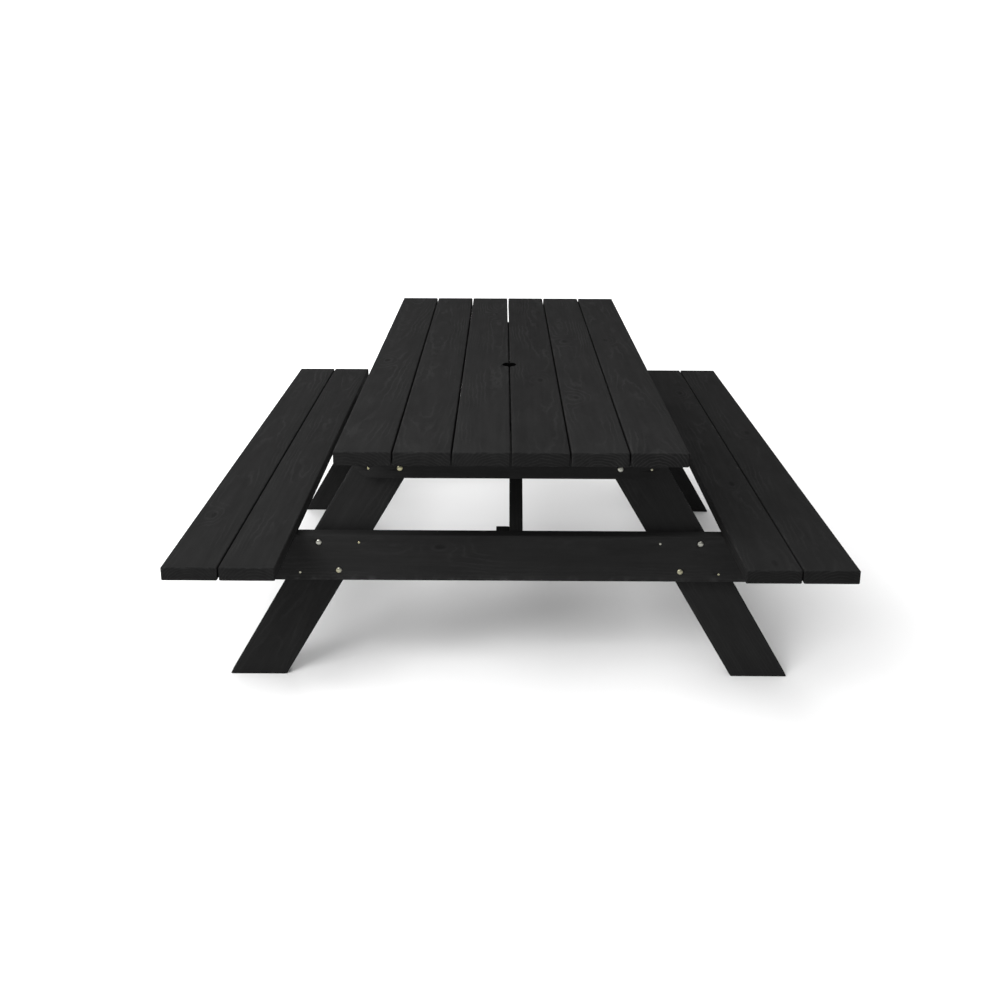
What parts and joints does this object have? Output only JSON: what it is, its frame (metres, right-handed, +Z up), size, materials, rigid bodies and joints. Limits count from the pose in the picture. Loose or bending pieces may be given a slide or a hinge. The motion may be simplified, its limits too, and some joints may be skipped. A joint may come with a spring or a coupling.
{
  "type": "picnic table",
  "caption": "A-frame picnic table with attached bench seats, made of black-stained lumber boards with rounded edges, bolted ends and an umbrella hole.",
  "frame": {"origin": "on the ground, at the middle of the table's footprint", "axes": "+Z up; +Y along the boards, away from the near end; +X across the table, from the left bench to the right bench"},
  "size_m": [1.738, 1.829, 0.796],
  "materials": {
    "stained_wood": "black penetrating stain, matt to satin, grain showing",
    "zinc_plated_steel": "zinc-plated, slightly yellowed"
  },
  "bodies": {
    "root": {"bench_left_inner_board": "stained_wood", "bench_left_outer_board": "stained_wood", "bench_right_inner_board": "stained_wood", "bench_right_outer_board": "stained_wood", "centre_cleat": "stained_wood", "far_brace": "stained_wood", "far_brace_block": "stained_wood", "far_end_cleat": "stained_wood", "far_left_end_cleat_low_bolt": "zinc_plated_steel", "far_left_end_cleat_low_nail": "zinc_plated_steel", "far_left_end_cleat_low_nut": "zinc_plated_steel", "far_left_leg": "stained_wood", "far_left_seat_beam_high_bolt": "zinc_plated_steel", "far_left_seat_beam_high_nail": "zinc_plated_steel", "far_left_seat_beam_high_nut": "zinc_plated_steel", "far_left_seat_beam_low_bolt": "zinc_plated_steel", "far_left_seat_beam_low_nail": "zinc_plated_steel", "far_left_seat_beam_low_nut": "zinc_plated_steel", "far_right_end_cleat_low_bolt": "zinc_plated_steel", "far_right_end_cleat_low_nail": "zinc_plated_steel", "far_right_end_cleat_low_nut": "zinc_plated_steel", "far_right_leg": "stained_wood", "far_right_seat_beam_high_bolt": "zinc_plated_steel", "far_right_seat_beam_high_nail": "zinc_plated_steel", "far_right_seat_beam_high_nut": "zinc_plated_steel", "far_right_seat_beam_low_bolt": "zinc_plated_steel", "far_right_seat_beam_low_nail": "zinc_plated_steel", "far_right_seat_beam_low_nut": "zinc_plated_steel", "far_seat_beam": "stained_wood", "near_brace": "stained_wood", "near_brace_block": "stained_wood", "near_end_cleat": "stained_wood", "near_left_end_cleat_low_bolt": "zinc_plated_steel", "near_left_end_cleat_low_nail": "zinc_plated_steel", "near_left_end_cleat_low_nut": "zinc_plated_steel", "near_left_leg": "stained_wood", "near_left_seat_beam_high_bolt": "zinc_plated_steel", "near_left_seat_beam_high_nail": "zinc_plated_steel", "near_left_seat_beam_high_nut": "zinc_plated_steel", "near_left_seat_beam_low_bolt": "zinc_plated_steel", "near_left_seat_beam_low_nail": "zinc_plated_steel", "near_left_seat_beam_low_nut": "zinc_plated_steel", "near_right_end_cleat_low_bolt": "zinc_plated_steel", "near_right_end_cleat_low_nail": "zinc_plated_steel", "near_right_end_cleat_low_nut": "zinc_plated_steel", "near_right_leg": "stained_wood", "near_right_seat_beam_high_bolt": "zinc_plated_steel", "near_right_seat_beam_high_nail": "zinc_plated_steel", "near_right_seat_beam_high_nut": "zinc_plated_steel", "near_right_seat_beam_low_bolt": "zinc_plated_steel", "near_right_seat_beam_low_nail": "zinc_plated_steel", "near_right_seat_beam_low_nut": "zinc_plated_steel", "near_seat_beam": "stained_wood", "tabletop_board_1": "stained_wood", "tabletop_board_2": "stained_wood", "tabletop_board_3": "stained_wood", "tabletop_board_4": "stained_wood", "tabletop_board_5": "stained_wood", "tabletop_board_6": "stained_wood"}
  },
  "joints": []
}
